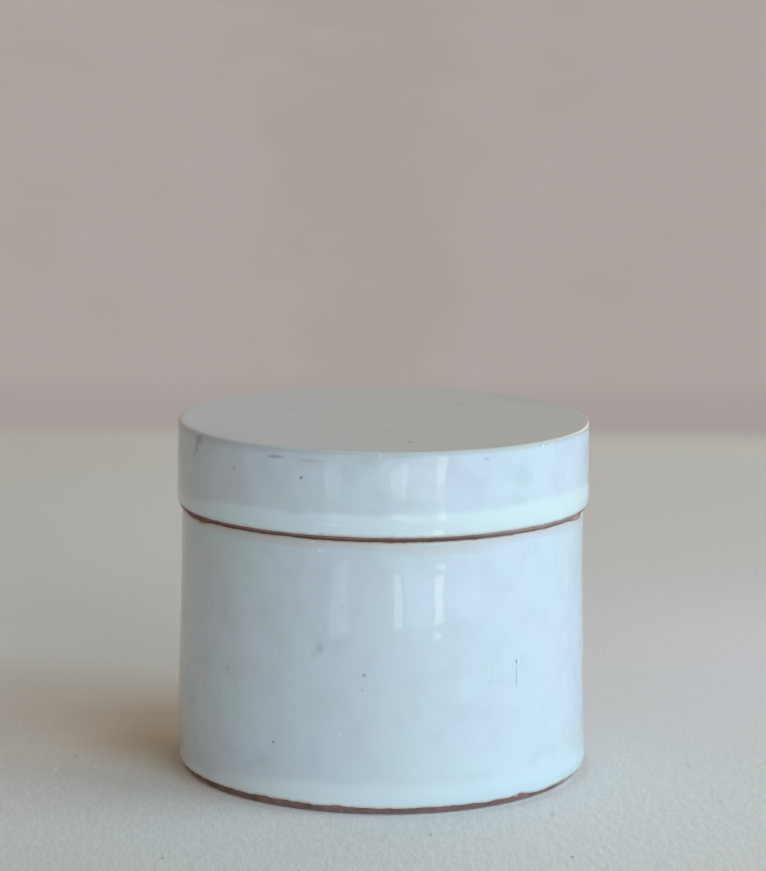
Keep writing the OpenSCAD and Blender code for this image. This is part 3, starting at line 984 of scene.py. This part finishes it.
# Stage: a pale cloth on a table, and the plain ground behind it

STAGE_HALF = 8                      # metres
TABLE_REACH = 448 * MM              # from the jar to the table's edge
TABLE_EDGE_BLUR = 26 * MM
TABLE_SQUARENESS = 6                # 2 is round, and more is squarer
TABLE_COLOUR = (0.73, 0.705, 0.67, 1)
TABLE_SHADE = (0.68, 0.665, 0.64, 1)
GROUND_COLOUR = (0.42, 0.37, 0.345, 1)
GROUND_SEEN = (0.421, 0.377, 0.357, 1)
GROUND_SEEN_DUSKY = (0.394, 0.352, 0.326, 1)
GROUND_SEEN_NEAR = (0.381, 0.337, 0.322, 1)
NEAR_BAND = (TABLE_REACH + 170 * MM, TABLE_REACH + 40 * MM)     # where the near shade sets in
BLACK = (0, 0, 0, 1)
DEPTH_BASE = 5000                   # base of the distance's logarithm, which draws blotches out
BLOTCHES = 0.05                     # their size, as a share of the distance
FOLD_PLACE = (-0.011, 1, 0)         # the broad fold behind the jar, as a direction
FOLD_HALF = (0.07, 1, 9)
FOLD_STRENGTH = 0.27
WEAVE = 1.5 * MM
NAP = 0.2 * MM
FIBRE_LEAN = 0.3                    # 1 is a round grain, and less draws it out along Y
CLOTH_FADES = (70 * MM, -45 * MM)   # from back to front, the weave gains strength from here to here
CLOTH_FARTHEST = 0.35               # its strength behind the jar, where the photograph blurs it
CLOTH_ROUGHNESS = 0.95
FLOOR_PATCH_DEPTH = 10                    # half a patch's depth, in millimetres
# Flecks in the cloth: colour, spacing, share and strength
FLECKS = [
    ((0.86, 0.86, 0.84, 1), 3.2 * MM, 0.35, 0.45),
    ((0.45, 0.44, 0.44, 1), 4.1 * MM, 0.12, 0.4),
]


def floor_mark(x, y, half, colour, strength, soft=1):
    """A patch on the cloth, at x and y in millimetres. The rows below are painted light, painted
    shadow and dark specks.
    """
    row = mark(0, 0, half + (FLOOR_PATCH_DEPTH,), colour, strength, soft)
    row["place"] = (x * MM, y * MM, 0)
    return row


FLOOR_MARKS = [
    # Painted shade: darker and warmer far behind the jar, at the right
    floor_mark(190, 320, (300, 210), (0.68, 0.648, 0.617, 1), 1),
    # Painted light: paler and bluer to the right of the jar, where the window light falls
    floor_mark(120, 105, (130, 130), (0.765, 0.735, 0.75, 1), 0.9),
    # Painted shade: darker at the front left
    floor_mark(-75, -88, (45, 30), (0.69, 0.655, 0.615, 1), 0.8),
    # Painted shadow of the jar, to its left and behind it, deepest close to the foot
    floor_mark(-98, 68, (45, 42), (0.66, 0.62, 0.565, 1), 0.8),
    floor_mark(-55, 12, (20, 24), (0.60, 0.55, 0.47, 1), 0.8),
    # Painted light: a pale disc under the jar, lifting the contact shade round the foot
    floor_mark(0, 0, (47, 47), (0.96, 0.96, 0.98, 1), 1, soft=0.06),
    # Dark specks in the cloth
    floor_mark(10.7, -58.6, (0.5, 1.2), (0.30, 0.29, 0.28, 1), 0.7, soft=0.7),
    floor_mark(39.6, -73.1, (0.6, 1.2), (0.30, 0.29, 0.28, 1), 0.7, soft=0.7),
    floor_mark(-44.1, -76.7, (0.5, 1.2), (0.30, 0.29, 0.28, 1), 0.6, soft=0.7),
]


def cloth_paint(tree, place, spot):
    """The cloth's colour, with its threads, flecks and dark specks, its painted light and shadow, and
    the height of its nap.
    """
    lengthwise = work_out_vector(tree, "MULTIPLY", place, (1, FIBRE_LEAN, 1))
    weave = cloud(tree, lengthwise, WEAVE, detail=4, roughness=0.7)
    clear = between(tree, spot["Y"], *CLOTH_FADES)
    clear = work_out(tree, "MULTIPLY_ADD", clear, 1 - CLOTH_FARTHEST, CLOTH_FARTHEST)
    thread = work_out(tree, "SUBTRACT", between(tree, weave, 0.35, 0.65), 0.5)
    thread = work_out(tree, "MULTIPLY_ADD", thread, clear, 0.5)
    cloth = mix(tree, thread, TABLE_SHADE, TABLE_COLOUR)
    for colour, gap, share, strength in FLECKS:
        fleck = scatter(tree, lengthwise, gap, gap / 5, share)
        cloth = painted(tree, work_out(tree, "MULTIPLY", fleck, clear), strength, cloth, colour)
    cloth = paint_marks(tree, FLOOR_MARKS, place, place, cloth, 0)[0]
    nap = work_out(tree, "MULTIPLY", work_out(tree, "MULTIPLY", weave, clear), NAP)
    return cloth, nap


def ground_paint(tree, place, reach):
    """The ground behind the table as the camera sees it: soft blotches, the painted shade of a broad
    fold, and painted shade near the table's edge.
    """
    away = work_out_vector(tree, "LENGTH", place)
    bearing = work_out_vector(tree, "NORMALIZE", place)
    depth = work_out(tree, "LOGARITHM", away, DEPTH_BASE)
    depth = add(tree, "ShaderNodeCombineXYZ", Z=depth).outputs[0]
    backdrop_place = work_out_vector(tree, "ADD", bearing, depth)
    blotches = cloud(tree, backdrop_place, BLOTCHES, detail=5, roughness=0.6)
    # The broad fold behind the jar, darker: painted shade
    fold = place_group(tree, MARK, Position=backdrop_place, Place=FOLD_PLACE, Half_Size=FOLD_HALF,
                       Softness=0.8)["Mask"]
    dusk = work_out(tree, "MULTIPLY_ADD", fold, FOLD_STRENGTH, blotches)
    ground = mix(tree, between(tree, dusk, 0.42, 0.82), GROUND_SEEN, GROUND_SEEN_DUSKY)
    return mix(tree, between(tree, reach, *NEAR_BAND), ground, GROUND_SEEN_NEAR)


def add_stage():
    """The floor: pale cloth as far as the table's edge, and the ground beyond it."""
    mesh = bmesh.new()
    bmesh.ops.create_grid(mesh, x_segments=1, y_segments=1, size=STAGE_HALF)
    data = bpy.data.meshes.new("floor")
    mesh.to_mesh(data)
    mesh.free()
    material, tree, shader, place = start_material("floor_cloth")
    spot = add(tree, "ShaderNodeSeparateXYZ", Vector=place).outputs
    powers = [work_out(tree, "POWER", work_out(tree, "ABSOLUTE", spot[axis]), TABLE_SQUARENESS)
              for axis in "XY"]
    reach = work_out(tree, "POWER", work_out(tree, "ADD", *powers), 1 / TABLE_SQUARENESS)
    beyond = between(tree, reach, TABLE_REACH - TABLE_EDGE_BLUR, TABLE_REACH + TABLE_EDGE_BLUR)
    cloth, nap = cloth_paint(tree, place, spot)
    ground_seen = ground_paint(tree, place, reach)

    # Beyond the table, camera and gloss see a ground that shines by itself, even in tone,
    # while the light falls on a ground of plain colour
    rays = tree.nodes.new("ShaderNodeLightPath").outputs
    seen = work_out(tree, "MAXIMUM", rays["Is Camera Ray"], rays["Is Glossy Ray"])
    plain = work_out(tree, "MULTIPLY", beyond, seen)
    unseen = work_out(tree, "SUBTRACT", beyond, plain)
    lit = mix(tree, plain, mix(tree, unseen, cloth, GROUND_COLOUR), BLACK)
    finish_surface(tree, shader, lit, CLOTH_ROUGHNESS, nap)
    feed(tree, shader.inputs["Emission Color"], mix(tree, plain, BLACK, ground_seen))
    shader.inputs["Emission Strength"].default_value = 1
    shader.inputs["Specular IOR Level"].default_value = 0
    data.materials.append(material)
    floor = bpy.data.objects.new("floor", data)
    bpy.context.scene.collection.objects.link(floor)


# Light: soft windows at the right and behind, streaks in the gloss, and the room's warm light

AMBIENT = (0.32, 0.268, 0.198, 1)
SURROUND = (0.415, 0.363, 0.299, 1)  # what camera and gloss see beyond the floor
WINDOW_FAR = 1.4                    # metres from the jar
WINDOW_SIZE = (0.85, 1.1)
# Each window: name, azimuth and rise in degrees, watts, colour, and whether the glaze mirrors it
WINDOWS = [
    ("window", 30, 12, 12.2, (0.82, 0.98, 1.0), False),
    ("high_window", 46, 55, 4.2, (0.27, 0.54, 1.0), True),
    ("side_window", 80, 27, 9.4, (0.65, 0.90, 1.0), False),
    ("back_window", 150, 27, 3.5, (1.0, 0.78, 0.66), True),
]
STREAK_FAR = 45 * MM                # from the jar's wall to the lamps of the streaks
# Bright strips that only the gloss shows, each by where it lies on the jar:
# azimuth, lowest and highest point, width, brightness, colour
STREAKS = [
    (-12.6, 69.4 * MM, 78.1 * MM, 3.5 * MM, 0.9, (1.0, 0.95, 1.15)),
    (-12.8, 62.3 * MM, 66.0 * MM, 3.5 * MM, 1.6, (0.95, 1.0, 1.05)),
    (4.8, 70.4 * MM, 76.3 * MM, 2.7 * MM, 1.5, (0.95, 1.0, 1.05)),
    (9.9, 68.8 * MM, 75.2 * MM, 7.0 * MM, 0.8, (0.95, 1.0, 1.0)),
    (15.7, 71.2 * MM, 77.8 * MM, 2.2 * MM, 2.9, (0.97, 1.05, 0.65)),
    (15.4, 68.2 * MM, 71.2 * MM, 2.4 * MM, 1.3, (0.95, 1.0, 1.0)),
    (-11.4, 40.8 * MM, 54.9 * MM, 3.7 * MM, 0.95, (0.9, 1.03, 1.0)),
    (4.6, 42.6 * MM, 53.3 * MM, 1.8 * MM, 1.9, (0.92, 1.0, 1.05)),
    (10.0, 43.0 * MM, 55.0 * MM, 5.8 * MM, 0.8, (0.7, 0.95, 1.4)),
    (15.5, 42.7 * MM, 54.6 * MM, 2.2 * MM, 2.8, (1.0, 1.07, 0.7)),
]


def around(turn_to, distance, up):
    """The point at an azimuth in degrees, a level distance and a height."""
    return Vector((distance * sin(radians(turn_to)), -distance * cos(radians(turn_to)), up))


def mirrored(spot):
    """Where a lamp has to be for the photograph's camera to see it in the wall at a spot."""
    outward = Vector((spot.x, spot.y, 0)).normalized()
    to_camera = (CAMERA_PLACE - spot).normalized()
    return spot + (2 * outward.dot(to_camera) * outward - to_camera) * STREAK_FAR


def add_lamp(name, place, aim, size, watts, colour):
    """A rectangular lamp at a place, facing another."""
    data = bpy.data.lights.new(name, "AREA")
    data.shape = "RECTANGLE"
    data.size, data.size_y = size
    data.energy = watts
    data.color = colour
    lamp = bpy.data.objects.new(name, data)
    lamp.visible_camera = False
    lamp.location = place
    lamp.rotation_euler = (place - aim).to_track_quat("Z", "Y").to_euler()
    bpy.context.scene.collection.objects.link(lamp)
    return lamp


def add_lights():
    """The windows, their streaks in the glaze, and the room."""
    for name, turn_to, rise, watts, colour, mirrors in WINDOWS:
        place = around(turn_to, WINDOW_FAR * cos(radians(rise)), WINDOW_FAR * sin(radians(rise)))
        lamp = add_lamp(name, place, Vector((0, 0, SEAM / 2)), WINDOW_SIZE, watts, colour)
        lamp.visible_glossy = mirrors
    for number, (turn_to, low, high, width, brightness, colour) in enumerate(STREAKS):
        bottom, top = [mirrored(around(turn_to, WIDEST, height)) for height in (low, high)]
        width *= 1 + 2 * STREAK_FAR / WIDEST
        height = (top - bottom).length
        aim = around(turn_to, WIDEST, (low + high) / 2)
        watts = brightness * pi * width * height
        lamp = add_lamp(f"streak_{number}", (bottom + top) / 2, aim, (width, height), watts, colour)
        lamp.visible_diffuse = False
        lamp.visible_transmission = False
        lamp.visible_volume_scatter = False
    world = bpy.data.worlds.new("room")
    world.use_nodes = True
    tree = world.node_tree
    rays = tree.nodes.new("ShaderNodeLightPath").outputs
    seen = work_out(tree, "MAXIMUM", rays["Is Camera Ray"], rays["Is Glossy Ray"])
    feed(tree, tree.nodes["Background"].inputs["Color"], mix(tree, seen, AMBIENT, SURROUND))
    bpy.context.scene.world = world


add_camera()
add_stage()
add_lights()
bpy.context.scene.view_settings.view_transform = "Standard"
